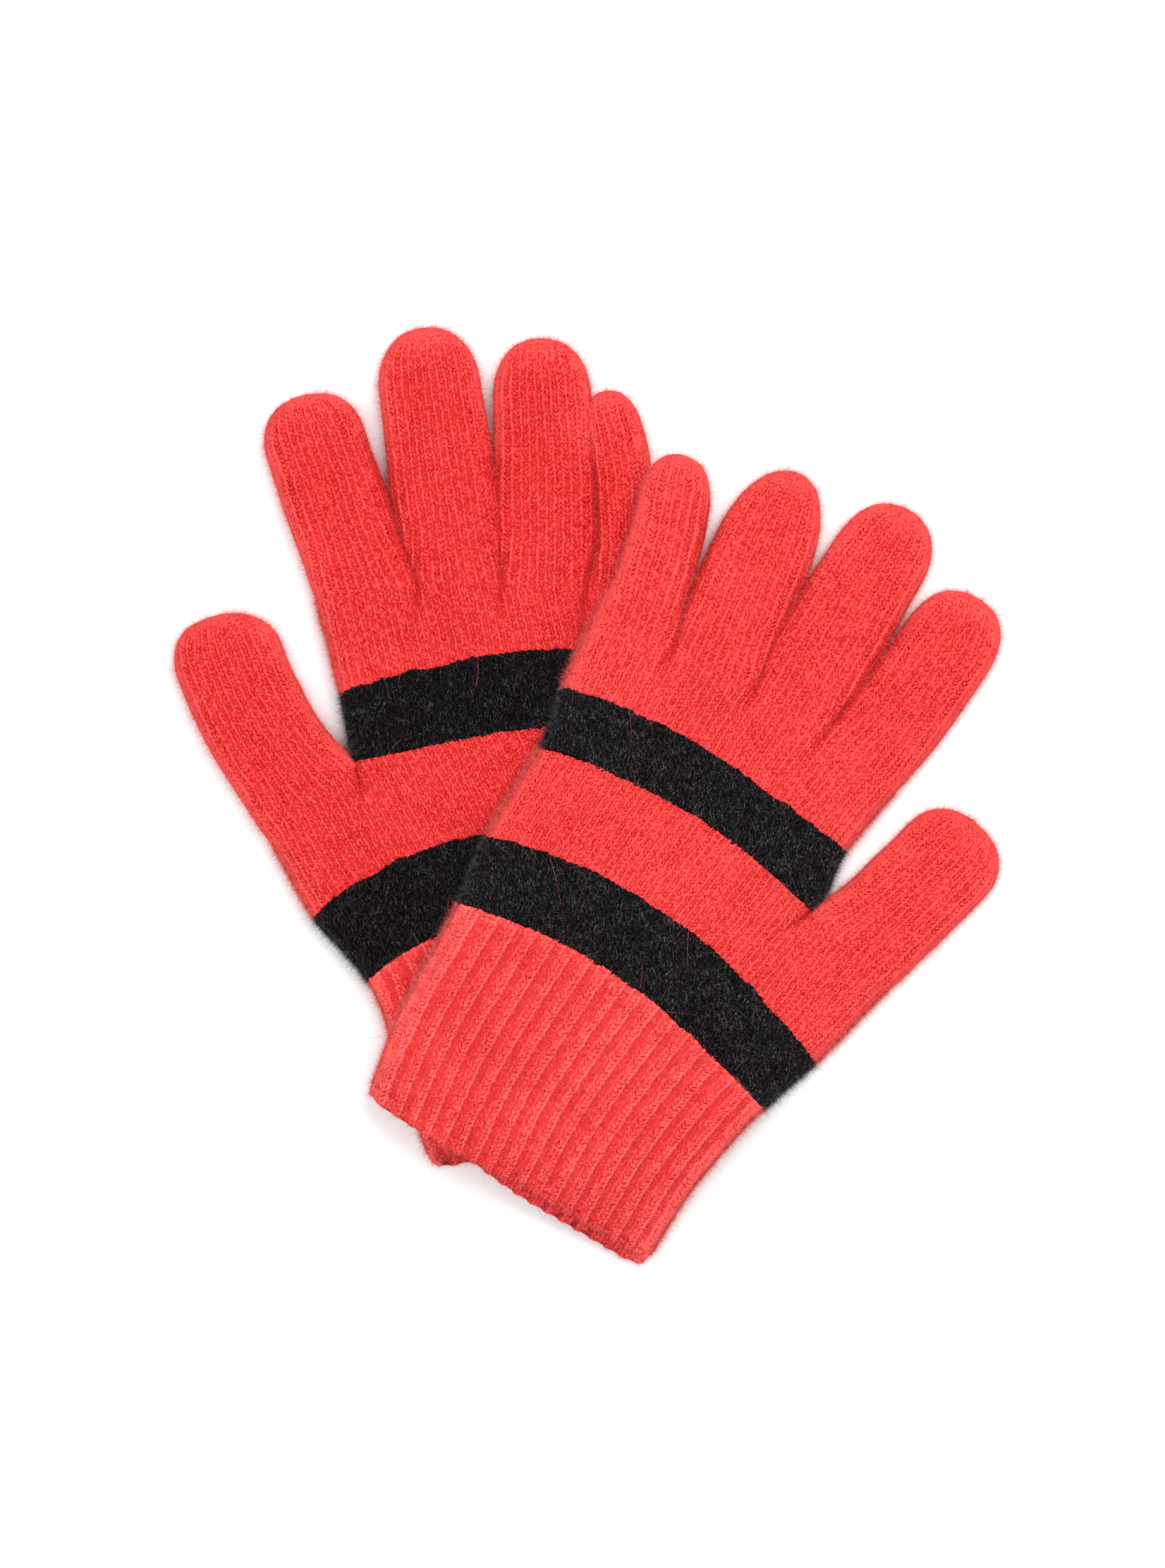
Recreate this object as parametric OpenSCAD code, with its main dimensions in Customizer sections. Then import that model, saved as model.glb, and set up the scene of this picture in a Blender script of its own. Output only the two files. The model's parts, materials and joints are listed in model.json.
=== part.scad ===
// A pair of knitted gloves lying flat: the left glove below, the right glove laid over it.
// Every piece is a flattened, hollow knitted tube. Fingers and thumbs are closed at the tip,
// and the cuffs are open. X is to the right, Y runs up the fingers, Z is up from the surface.

/* [Knit] */
// Height of one glove lying flat, both layers and the loft between them
glove_t = 7.8; // [7.8:0.1:9]
// Thickness of one knitted layer
wall = 1.6; // [1.4:0.1:1.6]
// Distance in from a side edge over which the fabric turns round to the back
edge_r = 7; // [6:0.5:8]
// Length of the cast-on hem at the cuff's mouth
hem_len = 4; // [3:0.5:6]

/* [Lay] */
// Clear space between the two gloves where one lies on the other
lay_gap = 0.4; // [0.3:0.05:0.8]
// Distance in which the upper glove comes down past the side of the lower one
side_run = 20; // [18:1:24]
// Distance in which it comes down past the lower glove's cuff mouth
mouth_run = 45; // [40:1:50]

/* [Folds] */
// Clear gap across a fold line
fold_gap = 0.4; // [0.3:0.05:0.6]
// How much slimmer than its fabric each side of a finger is, so that neighbours pass
finger_ease = 1; // [0.8:0.1:1.4]

/* [Hidden] */
red = [0.93, 0.25, 0.25];
charcoal = [0.12, 0.11, 0.12];

// Middle of the pair's footprint, in the coordinates of the plan below
middle = [1.1, -0.9];
// Share of the palm's width that runs on into the fingers; the rest runs into the thumb
palm_share = 0.76;
// Height of a side edge, where the front layer meets the back
mid_t = 0.42 * glove_t;
// Height at which the upper glove lies where the lower one is under it
lift = glove_t + lay_gap;
// Distance along a finger in which its root widens or narrows to its body
root_run = 18;
// Distance in which a fingertip rounds down to the surface
tip_run = 9;
// How square a fingertip is in plan: 2 is an ellipse, and more is squarer
tip_power = 2.4;
// Least share of the full height that is left at the very tip
tip_least = 0.3;
// Least half width of a finger, at its very tip
half_least = 0.4;
// How much longer a curved row is than the straight line between its ends
row_slack = 1.03;

// A straight line as the four points of a curve
function straight(a, b) = [a, a + (b - a) / 3, b - (b - a) / 3, b];

// Each glove's plan. Lines across the glove run from the little finger's side to the
// thumb's side: the cuff's mouth, the middle of the cuff, and both edges of each stripe.
// Then come the finger roots, the outer end of the thumb's root, and one row per finger:
// its tip, how far its middle bows, its half width on the little finger's side and on the
// thumb's side, and the length of its rounded end.
right = [
    straight([-64.4, -89.6], [18.5, -140.5]),
    straight([-53, -62], [34, -115.5]),
    [[-37, -32], [-8, -41], [17, -52], [53.5, -93.5]],
    [[-28.5, -12], [4, -21], [33, -33], [69, -80]],
    [[-13, 14], [15, 5], [42, -8], [67.5, -35]],
    [[-6, 31.5], [24, 24], [49, 6], [78, -17]],
    [[2.8, 51.5], [26.3, 42.5], [50.5, 30.5], [71.5, 17.5], [92.8, 0.5]],
    [90.1, -58.5],
    [
        [[29, 100.8], [0.5, 0], 10.3, 10.3, 15],
        [[64.2, 95.6], [-1.5, 0], 14.6, 13.5, 28],
        [[97.6, 84.3], [-1, 0], 14.5, 13.8, 19],
        [[116.5, 59], [1, -1], 13.5, 14.2, 17],
        [[117.5, -9], [1, -1], 15, 16, 15]
    ],
    1
];
left = [
    straight([44, -92.5], [-45.6, -110.6]),
    straight([42, -58], [-54.8, -82.3]),
    [[42, -28], [0, -24], [-45, -36], [-64.2, -55.8]],
    [[37, -14], [-10, -3], [-58, -13], [-80, -36.6]],
    [[27, 20], [-5, 24], [-40, 16], [-68, 9.5]],
    [[24.5, 41], [-10, 46.5], [-42, 40.5], [-72.3, 30]],
    [[21.5, 56], [0.5, 59.5], [-24.3, 62.2], [-49.5, 62.5], [-79.5, 58]],
    [-92.5, -15.2],
    [
        [[5.2, 119.9], [0, 0], 8.5, 8, 14],
        [[-14, 135.8], [-3, 0], 14.7, 14, 20],
        [[-47.7, 139], [-7, 0], 15.1, 15, 20],
        [[-84.5, 118.6], [-7.5, 1], 14.8, 14.6, 17],
        [[-109.9, 53.2], [1.5, 1], 16.2, 15.8, 14]
    ],
    -1
];

// Right edge of the lower glove, X at a given Y, under the upper glove
lower_edge = [
    [-140, 46], [-91, 45.5], [-28, 43.5], [-12, 39.5], [20, 28.5],
    [41, 26], [56, 23], [75, 21.5], [120, 19]
];

// ---- curves ----

function curve(c, t) =
    pow(1 - t, 3) * c[0] + 3 * t * pow(1 - t, 2) * c[1]
    + 3 * t * t * (1 - t) * c[2] + pow(t, 3) * c[3];
function mix(a, b, t) = a + (b - a) * t;
function clamp(x) = min(max(x, 0), 1);
function ease(x) = let (c = clamp(x)) c * c * (3 - 2 * c);
function unit(v) = v / norm(v);
function hermite(a, b, ma, mb, t) =
    (2 * t * t * t - 3 * t * t + 1) * a + (t * t * t - 2 * t * t + t) * ma
    + (3 * t * t - 2 * t * t * t) * b + (t * t * t - t * t) * mb;

// Top of the mid palm: the upper stripe's lower edge, then the thumb's root
function mid_top(g, w) =
    w < palm_share
        ? curve(g[4], w / palm_share)
        : mix(g[4][3], g[7], (w - palm_share) / (1 - palm_share));
// Line through the finger roots, a quarter of the width to each finger
function roots(g, w) =
    let (i = min(floor(w * 4), 3))
    mix(g[6][i], g[6][i + 1], w * 4 - i);
// Lines that bound the bands: 0 to 4 over the full width, 5 to 7 above the thumb
function line_at(g, j, w) =
    j < 4 ? curve(g[j], w)
    : j == 4 ? mid_top(g, w)
    : j == 5 ? curve(g[4], w)
    : j == 6 ? curve(g[5], w)
    : roots(g, w);

// A point of the band between line j and the next, at t of the way up it
function band_point(g, j, w, t) =
    let (
        a = line_at(g, j, w),
        b = line_at(g, j + 1, w),
        before = j == 0 ? 2 * a - b : j == 5 ? curve(g[3], w * palm_share) : line_at(g, j - 1, w),
        after = j == 3 || j == 6 ? 2 * b - a : line_at(g, j + 2, w)
    )
    hermite(a, b, (b - before) / 2, (after - a) / 2, t);

// ---- sections ----

// How far a layer has risen at a distance d in from its side edge
function rise(d, r) = d >= r ? 1 : sqrt(1 - pow(1 - max(d, 0) / r, 2));

// Places across a row of a given length, closer together where the edge turns
function marks(len, r, n) =
    concat(
        [for (k = [0, 0.1, 0.4]) k * r / len],
        [for (i = [0:n]) mix(r / len, 1 - r / len, i / n)],
        [for (k = [0.4, 0.1, 0]) 1 - k * r / len]
    );

// A plan point at a given height
function over(p, z) = [p[0], p[1], z];

// Height of the upper glove's base over the surface
function falling(x) = 1 - ease(x);
function drape(p) =
    let (
        past_side = p[0] - lookup(p[1], lower_edge),
        mouth = left[0],
        down = unit([mouth[0][1] - mouth[3][1], mouth[3][0] - mouth[0][0]]),
        past_mouth = (p - mouth[3]) * down,
        cuff_edge = unit(mouth[3] - left[2][3]),
        past_cuff = (p - mouth[3]) * [cuff_edge[1], -cuff_edge[0]]
    )
    lift * falling(past_side / side_run) * falling(past_mouth / mouth_run)
    * falling(past_cuff / side_run);
function base_at(g, p) = g[9] > 0 ? drape(p) : 0;

// One ring of a tube: the front layer across, then the back layer on the way home.
// at is the list of plan points, in_from the distance of each from the nearer side edge,
// and full the share of the full height that this ring has.
function ring(g, at, in_from, r, inset, full) =
    let (
        n = len(at),
        up = (glove_t - mid_t) * full - inset,
        down = mid_t * full - inset
    )
    concat(
        [for (i = [0:n - 1])
            over(at[i] - middle, base_at(g, at[i]) + mid_t + up * rise(in_from[i], r))],
        [for (i = [n - 2:-1:1])
            over(at[i] - middle, base_at(g, at[i]) + mid_t - down * rise(in_from[i], r))]
    );

// A ring of a band of the palm or cuff
function band_ring(g, j, t, inset, n) =
    let (
        len = row_slack * norm(band_point(g, j, 1, t) - band_point(g, j, 0, t)),
        r = edge_r - inset,
        ws = [for (m = marks(len - 2 * inset, r, n)) mix(inset / len, 1 - inset / len, m)]
    )
    ring(g, [for (w = ws) band_point(g, j, w, t)],
        [for (w = ws) min(w, 1 - w) * len - inset], r, inset, 1);

// Centre line, direction and length of finger i, which stands on the root from a to b
function finger_root(g, i) = i < 4 ? [g[6][i], g[6][i + 1]] : [g[4][3], g[7]];
function finger_ring(g, i, along, inset) =
    let (
        root = finger_root(g, i),
        f = g[8][i],
        a = root[0],
        b = root[1],
        across = unit(b - a),
        out = g[9] * [-across[1], across[0]],
        c = (a + b) / 2,
        len = norm(f[0] - c),
        m = c + out * len / 2 + f[1],
        s = along * (len - 2 * inset),
        t = s / len,
        centre = pow(1 - t, 2) * c + 2 * t * (1 - t) * m + t * t * f[0],
        way = unit((1 - t) * (m - c) + t * (f[0] - m)),
        turned = g[9] * [way[1], -way[0]],
        side = unit(mix(across, turned, ease(s / root_run))),
        half = norm(b - a) / 2 - fold_gap,
        wide = ease(s / root_run),
        cap = clamp((s - len + 2 * inset + f[4]) / f[4]),
        narrow = sqrt(max(1 - pow(cap, tip_power), 0)),
        lo = mix(half, f[2] - finger_ease, wide) * narrow - inset * min(1, narrow + 0.2),
        hi = mix(half, f[3] - finger_ease, wide) * narrow - inset * min(1, narrow + 0.2),
        width = max(lo, half_least) + max(hi, half_least),
        r = min(edge_r - inset, width / 2),
        low = clamp((s - len + 2 * inset + tip_run) / tip_run),
        full = max(sqrt(1 - low * low), tip_least),
        ws = marks(width, r * 0.98, 2)
    )
    ring(g, [for (w = ws) centre + side * (w * width - max(lo, half_least))],
        [for (w = ws) min(w, 1 - w) * width], r, inset * full, full);

// ---- solids ----

function flat_list(l) = [for (a = l, b = a) b];
function turn(f, way) = way > 0 ? f : [f[0], f[2], f[1]];

// A hollow tube from rows of outer and inner rings; a closed tube is capped at its far end
module tube(outer, inner, way, closed = false) {
    rows = len(outer);
    n = len(outer[0]);
    in0 = rows * n;
    tip_out = 2 * in0;
    tip_in = tip_out + 1;
    function mean(l) = [for (k = [1 / len(l)]) k * [for (x = l) 1] * l][0];
    walls = [for (i = [0:rows - 2], j = [0:n - 1])
        let (a = i * n + j, b = i * n + (j + 1) % n, c = a + n, d = b + n)
        each [[a, c, b], [b, c, d]]];
    linings = [for (f = walls) [in0 + f[0], in0 + f[2], in0 + f[1]]];
    rim = [for (j = [0:n - 1])
        let (a = j, b = (j + 1) % n)
        each [[a, b, in0 + a], [b, in0 + b, in0 + a]]];
    far = (rows - 1) * n;
    end = [for (j = [0:n - 1])
        let (a = far + j, b = far + (j + 1) % n)
        each closed
            ? [[a, tip_out, b], [in0 + a, in0 + b, tip_in]]
            : [[a, in0 + a, b], [b, in0 + a, in0 + b]]];
    points = concat(flat_list(outer), flat_list(inner),
        closed ? [mean(outer[rows - 1]), mean(inner[rows - 1])] : []);
    polyhedron(points, [for (f = concat(walls, linings, rim, end)) turn(f, way)]);
}

// Part of the palm or cuff: steps is the list of [line, how far up to the next]
module band(g, steps, n = 8) {
    tube([for (s = steps) band_ring(g, s[0], s[1], 0, n)],
        [for (s = steps) band_ring(g, s[0], s[1], wall, n)], g[9]);
}

// How far along its length each ring of a finger is, closer together at the rounded tip
finger_steps = [0.15, 0.3, 0.45, 0.6, 0.72, 0.81, 0.88, 0.93, 0.965, 0.99];

module finger(g, i) {
    root = finger_root(g, i);
    length = norm(g[8][i][0] - (root[0] + root[1]) / 2);
    // The first ring stands off the fold line, and the lining starts level with it
    first = fold_gap / length;
    first_in = fold_gap / (length - 2 * wall);
    color(red)
        tube([for (s = concat([first], finger_steps)) finger_ring(g, i, s, 0)],
            [for (s = concat([first_in], finger_steps)) finger_ring(g, i, s, wall)],
            g[9], closed = true);
}

module upper_palm(g) color(red) band(g, [for (t = [0:0.2:1]) [6, t]], 12);
module upper_stripe(g) color(charcoal) band(g, [for (t = [0:0.5:1]) [5, t]]);
module mid_palm(g) color(red) band(g, [for (t = [0:0.25:1]) [3, t]], 12);
module lower_stripe(g) color(charcoal) band(g, [for (t = [0:0.5:1]) [2, t]]);

// Where the hem ends, as a share of the lower half of the cuff
function hem_share(g) = hem_len / norm(curve(g[1], 0.5) - curve(g[0], 0.5));
// Half of the fold gap, as a share of either half of the cuff
function gap_share(g) = fold_gap / 2 / norm(curve(g[1], 0.5) - curve(g[0], 0.5));

module hem(g) color(red) band(g, [[0, 0], [0, hem_share(g)]]);
module rib_cuff(g)
    color(red)
        band(g, concat([for (t = [hem_share(g), 0.4, 0.7]) [0, t]],
            [for (t = [0:0.25:1]) [1, t]]));
module cuff_turn(g)
    color(red) band(g, [for (t = [hem_share(g), 0.4, 0.7, 1 - gap_share(g)]) [0, t]]);
module cuff_top(g)
    color(red) band(g, [for (t = [gap_share(g), 0.3, 0.65, 1]) [1, t]]);

// ---- nodes ----

module left_little_finger() { finger(left, 0); }
module left_ring_finger() { finger(left, 1); }
module left_middle_finger() { finger(left, 2); }
module left_index_finger() { finger(left, 3); }
module left_thumb() { finger(left, 4); }
module right_little_finger() { finger(right, 0); }
module right_ring_finger() { finger(right, 1); }
module right_middle_finger() { finger(right, 2); }
module right_index_finger() { finger(right, 3); }
module right_thumb() { finger(right, 4); }

left_little_finger();
left_ring_finger();
left_middle_finger();
left_index_finger();
left_thumb();
upper_palm(left);  // left_upper_palm
upper_stripe(left);  // left_upper_stripe
mid_palm(left);  // left_mid_palm
lower_stripe(left);  // left_lower_stripe
rib_cuff(left);  // left_rib_cuff
hem(left);  // left_hem
right_little_finger();
right_ring_finger();
right_middle_finger();
right_index_finger();
right_thumb();
upper_palm(right);  // right_upper_palm
upper_stripe(right);  // right_upper_stripe
mid_palm(right);  // right_mid_palm
lower_stripe(right);  // right_lower_stripe
cuff_top(right);  // right_cuff_top
cuff_turn(right);  // right_cuff_turn
hem(right);  // right_hem
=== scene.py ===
"""A pair of knitted gloves lying flat, the right glove over the left one.

Every piece of the gloves is a closed knitted tube with real stitches in its surface.
Lengths are in millimetres until a mesh is made, and the frame is the CAD model's.
"""
import json
import math

import bpy
import numpy as np
from mathutils import Matrix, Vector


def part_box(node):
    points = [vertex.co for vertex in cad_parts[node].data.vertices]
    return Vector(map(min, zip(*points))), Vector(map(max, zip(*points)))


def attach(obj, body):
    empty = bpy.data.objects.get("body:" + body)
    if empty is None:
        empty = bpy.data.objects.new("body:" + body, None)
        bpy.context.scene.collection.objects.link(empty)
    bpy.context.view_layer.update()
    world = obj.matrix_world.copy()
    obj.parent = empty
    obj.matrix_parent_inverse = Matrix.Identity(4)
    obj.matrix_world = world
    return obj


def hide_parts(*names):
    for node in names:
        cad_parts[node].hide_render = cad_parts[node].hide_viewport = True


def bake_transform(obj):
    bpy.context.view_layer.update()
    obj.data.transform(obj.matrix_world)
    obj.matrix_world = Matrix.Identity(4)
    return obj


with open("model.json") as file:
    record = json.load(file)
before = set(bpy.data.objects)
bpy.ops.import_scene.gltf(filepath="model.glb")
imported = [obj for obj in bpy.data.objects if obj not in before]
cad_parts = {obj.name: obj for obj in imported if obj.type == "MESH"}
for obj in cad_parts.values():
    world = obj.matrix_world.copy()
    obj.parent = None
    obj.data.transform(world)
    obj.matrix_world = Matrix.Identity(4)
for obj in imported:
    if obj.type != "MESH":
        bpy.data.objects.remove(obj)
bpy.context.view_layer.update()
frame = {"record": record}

slots = {s["node"]: s["material_slot"] for s in frame["record"]["subparts"]}
rng = np.random.default_rng(20261116)

MM = 0.001


def cad_mm(node):
    """Lowest and highest corners of a CAD node, in millimetres."""
    low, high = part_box(node)
    return np.array(low) / MM, np.array(high) / MM


# ---- dimensions ----

# Height of one glove lying flat
GLOVE_T = cad_mm("left_rib_cuff")[1][2]
# Height of a side edge, where the front layer meets the back
MID = 0.42 * GLOVE_T
# Height at which the upper glove lies where the lower one is under it
LIFT = cad_mm("right_cuff_top")[1][2] - GLOVE_T
# Thickness of one knitted layer
WALL = 1.6
# Distance in from a side edge over which the fabric turns round to the back, and how many
# times as long the fabric in that turn is
EDGE_R = 7
TURN = 1.25
# Length of the cast-on hem at the cuff's mouth
HEM = 4
# Distances in which the upper glove comes down past the lower glove's side and cuff mouth
SIDE_RUN = 20
MOUTH_RUN = 45
# Middle of the pair's footprint, in the coordinates of the plan below
MIDDLE = np.array([1.1, -0.9])
# Share of the palm's width that runs on into the fingers; the rest runs into the thumb
PALM_SHARE = 0.76
# Distance along a finger in which its root widens or narrows to its body
ROOT_RUN = 18
# Distance in which a fingertip rounds down to the surface
TIP_RUN = 9
# How much a finger's lower part spreads against its neighbour, and how far up it does
HUG = 1.1
HUG_RUN = 28
# Distance before the finger roots in which the palm divides into finger-wide lobes
PINCH_RUN = 16

# Columns of stitches across the front of the hand, of which these run on into the fingers
WALES = 63
PALM_WALES = 48
# Length of one row of stitches, and width of one column on a finger
COURSE = 1.42
WALE = 2.3
# Ribs across the front of a cuff, each of two columns of stitches
RIBS = 19
# How far the stitches stand out of the fabric, and how deep the grooves of the rib are
STITCH_H = 0.5
RIB_H = 0.95
# How much painted shade darkens the grooves of the rib
RIB_GROOVE_SHADE = 0.36
# How far the fabric's fluffed-up face lies outside the plan's smooth section, and the
# share of its ripples that the layer below has
LOFT = 0.3
BACK_RIPPLES = 0.3
# How far the skin turns in at the cast-on edge, and how far in from the edge it starts to
MOUTH_TURN = 0.75
MOUTH_ROUND = 1.4
# Rows that a leg of a stitch rises from the middle of its column to the edge
SLANT = 1.05
# How far the cuff's front layer stops short of its mouth, and the back layer runs past it,
# how far the back stays in at the sides, and how far each rib stands out of the edge
FRONT_SHORT = 2.1
BACK_LONG = 1.3
BACK_IN = 0.8
SCALLOP = 0.8
# Painted light on the upper, right glove and painted shade on the lower, left one, and how
# bold each glove's flecks are
GLOVE_LIGHT_SHADE = {1: 0.09, -1: -0.06}
FLECKED = {1: 1.0, -1: 0.6}
# How far in from an outline painted rim light makes the fabric paler, standing in for its fuzz
# lit edge-on
RIM_LIGHT_RUN = 2.2
# How far from the line between two fingers painted shade darkens the crease, and how much
CREASE_SHADE_RUN = 1.6
PAINTED_CREASE_SHADE = 0.7
# Share of that painted shade in the palm's hollows, which are less deep
PALM_CREASE_SHADE = 0.62
# Relief at the seam between palm and fingers, how far it reaches, and a distance that is
# too far for it
CALM = 0.75
CALM_RUN = 1.6
FAR = 1000.0
# How far a finger's first rows lie under the palm's end, and how deep they sink there
ROOT_UNDER = 1.2
ROOT_SINK = 0.4
# Share of its height by which the front layer sinks at the mouth, and how far in it does
MOUTH_SAG = 0.4
MOUTH_SAG_RUN = 14
# How far the mouth's corners round off
CORNER = 2.4
# Vertices to a column of stitches and to a row, and rows of the skin to one of the lining
FINE_U = 5
FINE_V = 4
LINING_ROWS = 6

# Short loose fibres to a square millimetre, how many times as many a hem has, and the area
# that has one long fibre
FIBRES_MM2 = 3.6
HEM_FUZZ = 3
LONG_MM2 = 55
# How high fibres stand over their roots, how low they hang over the floor, and the length
# under which they are straight
HAIR_UP = 3.5
HAIR_LOW = 0.08
STRAIGHT = 1.4


def straight(a, b):
    """A straight line as the four points of a curve."""
    a, b = np.array(a, float), np.array(b, float)
    return [a, a + (b - a) / 3, b - (b - a) / 3, b]


# Each glove's plan, as in the CAD model. Lines across the glove run from the little
# finger's side to the thumb's side. A finger has its tip, the bow of its middle, its half
# width on either side, and the length of its rounded end.
RIGHT = {
    "side": 1,
    "lines": [
        straight([-64.4, -89.6], [18.5, -140.5]),
        straight([-53, -62], [34, -115.5]),
        [[-37, -32], [-8, -41], [17, -52], [53.5, -93.5]],
        [[-28.5, -12], [4, -21], [33, -33], [69, -80]],
        [[-13, 14], [15, 5], [42, -8], [67.5, -35]],
        [[-6, 31.5], [24, 24], [49, 6], [78, -17]],
    ],
    "roots": [[2.8, 51.5], [26.3, 42.5], [50.5, 30.5], [71.5, 17.5], [92.8, 0.5]],
    "gusset": [90.1, -58.5],
    "fingers": {
        "little_finger": [[29, 100.8], [0.5, 0], 10.3, 10.3, 15],
        "ring_finger": [[64.2, 95.6], [-1.5, 0], 14.6, 13.5, 28],
        "middle_finger": [[97.6, 84.3], [-1, 0], 14.5, 13.8, 19],
        "index_finger": [[116.5, 59], [1, -1], 13.5, 14.2, 17],
        "thumb": [[117.5, -9], [1, -1], 15, 16, 15],
    },
}
LEFT = {
    "side": -1,
    "lines": [
        straight([44, -92.5], [-45.6, -110.6]),
        straight([42, -58], [-54.8, -82.3]),
        [[42, -28], [0, -24], [-45, -36], [-64.2, -55.8]],
        [[37, -14], [-10, -3], [-58, -13], [-80, -36.6]],
        [[27, 20], [-5, 24], [-40, 16], [-68, 9.5]],
        [[24.5, 41], [-10, 46.5], [-42, 40.5], [-72.3, 30]],
    ],
    "roots": [[21.5, 56], [0.5, 59.5], [-24.3, 62.2], [-49.5, 62.5], [-79.5, 58]],
    "gusset": [-92.5, -15.2],
    "fingers": {
        "little_finger": [[5.2, 119.9], [0, 0], 8.5, 8, 14],
        "ring_finger": [[-14, 135.8], [-3, 0], 14.7, 14, 20],
        "middle_finger": [[-47.7, 139], [-7, 0], 15.1, 15, 20],
        "index_finger": [[-84.5, 118.6], [-7.5, 1], 14.8, 14.6, 17],
        "thumb": [[-109.9, 53.2], [1.5, 1], 16.2, 15.8, 14],
    },
}
for glove in (RIGHT, LEFT):
    for key in ("lines", "roots", "gusset"):
        glove[key] = np.array(glove[key], float)
FINGERS = ["little_finger", "ring_finger", "middle_finger", "index_finger", "thumb"]
# Shares of the width at which one finger's root ends and the next one's starts
BETWEEN = [0.25, 0.5, 0.75]
# Lines that the bands of plain knit start from
BANDS = {"upper_palm": 6, "upper_stripe": 5, "mid_palm": 3, "lower_stripe": 2}

# Right edge of the lower glove, X at a given Y, under the upper glove
LOWER_EDGE = np.array([
    [-140, 46], [-91, 45.5], [-28, 43.5], [-12, 39.5], [20, 28.5],
    [41, 26], [56, 23], [75, 21.5], [120, 19],
], float)


# ---- curves ----

def curve(c, t):
    """Point of a cubic curve, for any array of t."""
    t = np.asarray(t, float)[..., None]
    return (
        (1 - t) ** 3 * c[0] + 3 * t * (1 - t) ** 2 * c[1]
        + 3 * t * t * (1 - t) * c[2] + t ** 3 * c[3]
    )


def ease(x):
    """A smooth step from 0 to 1."""
    x = np.clip(x, 0, 1)
    return x * x * (3 - 2 * x)


def unit(v):
    """Vectors scaled to length 1."""
    return v / np.maximum(np.linalg.norm(v, axis=-1, keepdims=True), 1e-9)


def bump(x, middle, width):
    """A smooth bump of height 1 at middle that has died away at width from it."""
    return 1 - ease(np.abs(x - middle) / width)


def mid_top(g, w):
    """Top of the mid palm: the upper stripe's lower edge, then the thumb's root."""
    lines, gusset = g["lines"], g["gusset"]
    palm = curve(lines[4], np.minimum(w / PALM_SHARE, 1))
    out = np.clip((w - PALM_SHARE) / (1 - PALM_SHARE), 0, None)[..., None]
    return palm + out * (gusset - lines[4][3])


def roots(g, w):
    """Line through the finger roots, a quarter of the width to each finger."""
    at = [0, *BETWEEN, 1]
    return np.stack([np.interp(w, at, g["roots"][:, k]) for k in (0, 1)], -1)


def line_at(g, j, w):
    """Lines that bound the bands: 0 to 4 over the full width, 5 to 7 above the thumb."""
    if j < 4:
        return curve(g["lines"][j], w)
    if j == 4:
        return mid_top(g, w)
    if j == 7:
        return roots(g, w)
    return curve(g["lines"][j - 1], w)


def band_plan(g, j, w, t):
    """Plan point of the band between line j and the next, at t of the way up it."""
    a, b = line_at(g, j, w), line_at(g, j + 1, w)
    # The upper stripe goes on in the direction in which the mid palm comes to it
    rising = 0.8
    if j == 0:
        start = b - a
    elif j == 5:
        start = rising * (a - curve(g["lines"][3], w * PALM_SHARE))
    else:
        start = (b - line_at(g, j - 1, w)) / 2
    if j == 3:
        finish = rising * (b - a)
    elif j == 6:
        finish = b - a
    else:
        finish = (line_at(g, j + 2, w) - a) / 2
    t = np.asarray(t, float)[..., None]
    return (
        (2 * t ** 3 - 3 * t ** 2 + 1) * a + (t ** 3 - 2 * t ** 2 + t) * start
        + (3 * t ** 2 - 2 * t ** 3) * b + (t ** 3 - t ** 2) * finish
    )


def drape(p):
    """Height of the upper glove's base over the surface."""
    mouth = LEFT["lines"][0]
    past_side = p[..., 0] - np.interp(p[..., 1], LOWER_EDGE[:, 0], LOWER_EDGE[:, 1])
    down = unit(np.array([mouth[0][1] - mouth[3][1], mouth[3][0] - mouth[0][0]]))
    past_mouth = (p - mouth[3]) @ down
    cuff_edge = unit(mouth[3] - LEFT["lines"][2][3])
    past_cuff = (p - mouth[3]) @ np.array([cuff_edge[1], -cuff_edge[0]])
    return (
        LIFT * (1 - ease(past_side / SIDE_RUN)) * (1 - ease(past_mouth / MOUTH_RUN))
        * (1 - ease(past_cuff / SIDE_RUN))
    )


def base_at(g, p):
    """Height of a glove's base over the surface."""
    return drape(p) if g["side"] > 0 else np.zeros(p.shape[:-1])


# ---- sections ----

def rise(d, r):
    """How far a layer has risen at a distance d in from its side edge."""
    return np.sqrt(np.clip(1 - (1 - np.clip(d / r, 0, 1)) ** 2, 0, 1))


def turned(f, length, r):
    """Distance from the first side edge at a share f of the fabric across a row."""
    fabric = length - 2 * r + 2 * TURN * r
    q = f * fabric
    near = np.minimum(q, fabric - q)
    angle = np.clip(near / (TURN * r), 0, 1) * math.pi / 2
    d = np.where(near < TURN * r, r * (1 - np.cos(angle)), near - TURN * r + r)
    return np.where(q < fabric / 2, d, length - d)


def ring_shares(n):
    """Shares across the front, then across the back on the way home, and which layer."""
    there = np.arange(n) / n
    f = np.concatenate([there, 1 - there])
    back = np.concatenate([np.zeros(n, bool), np.ones(n, bool)])
    return f, back


def lay(g, plan, height, back, inset, front_share):
    """Heights of the two layers over a plan, as points in space."""
    front = (GLOVE_T - MID - inset) * height * front_share
    over = np.where(back, -(MID - inset) * height, front)
    z = base_at(g, plan) + MID + over
    return np.concatenate([plan - MIDDLE, z[..., None]], -1)


def thread_row(g, j, t):
    """Shares across a row, and how far along it each one is."""
    steps = 160
    w = np.linspace(0, 1, steps + 1)
    p = band_plan(g, j, w, np.full_like(w, t))
    s = np.concatenate([[0], np.cumsum(np.linalg.norm(np.diff(p, axis=0), axis=-1))])
    return w, s


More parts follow.
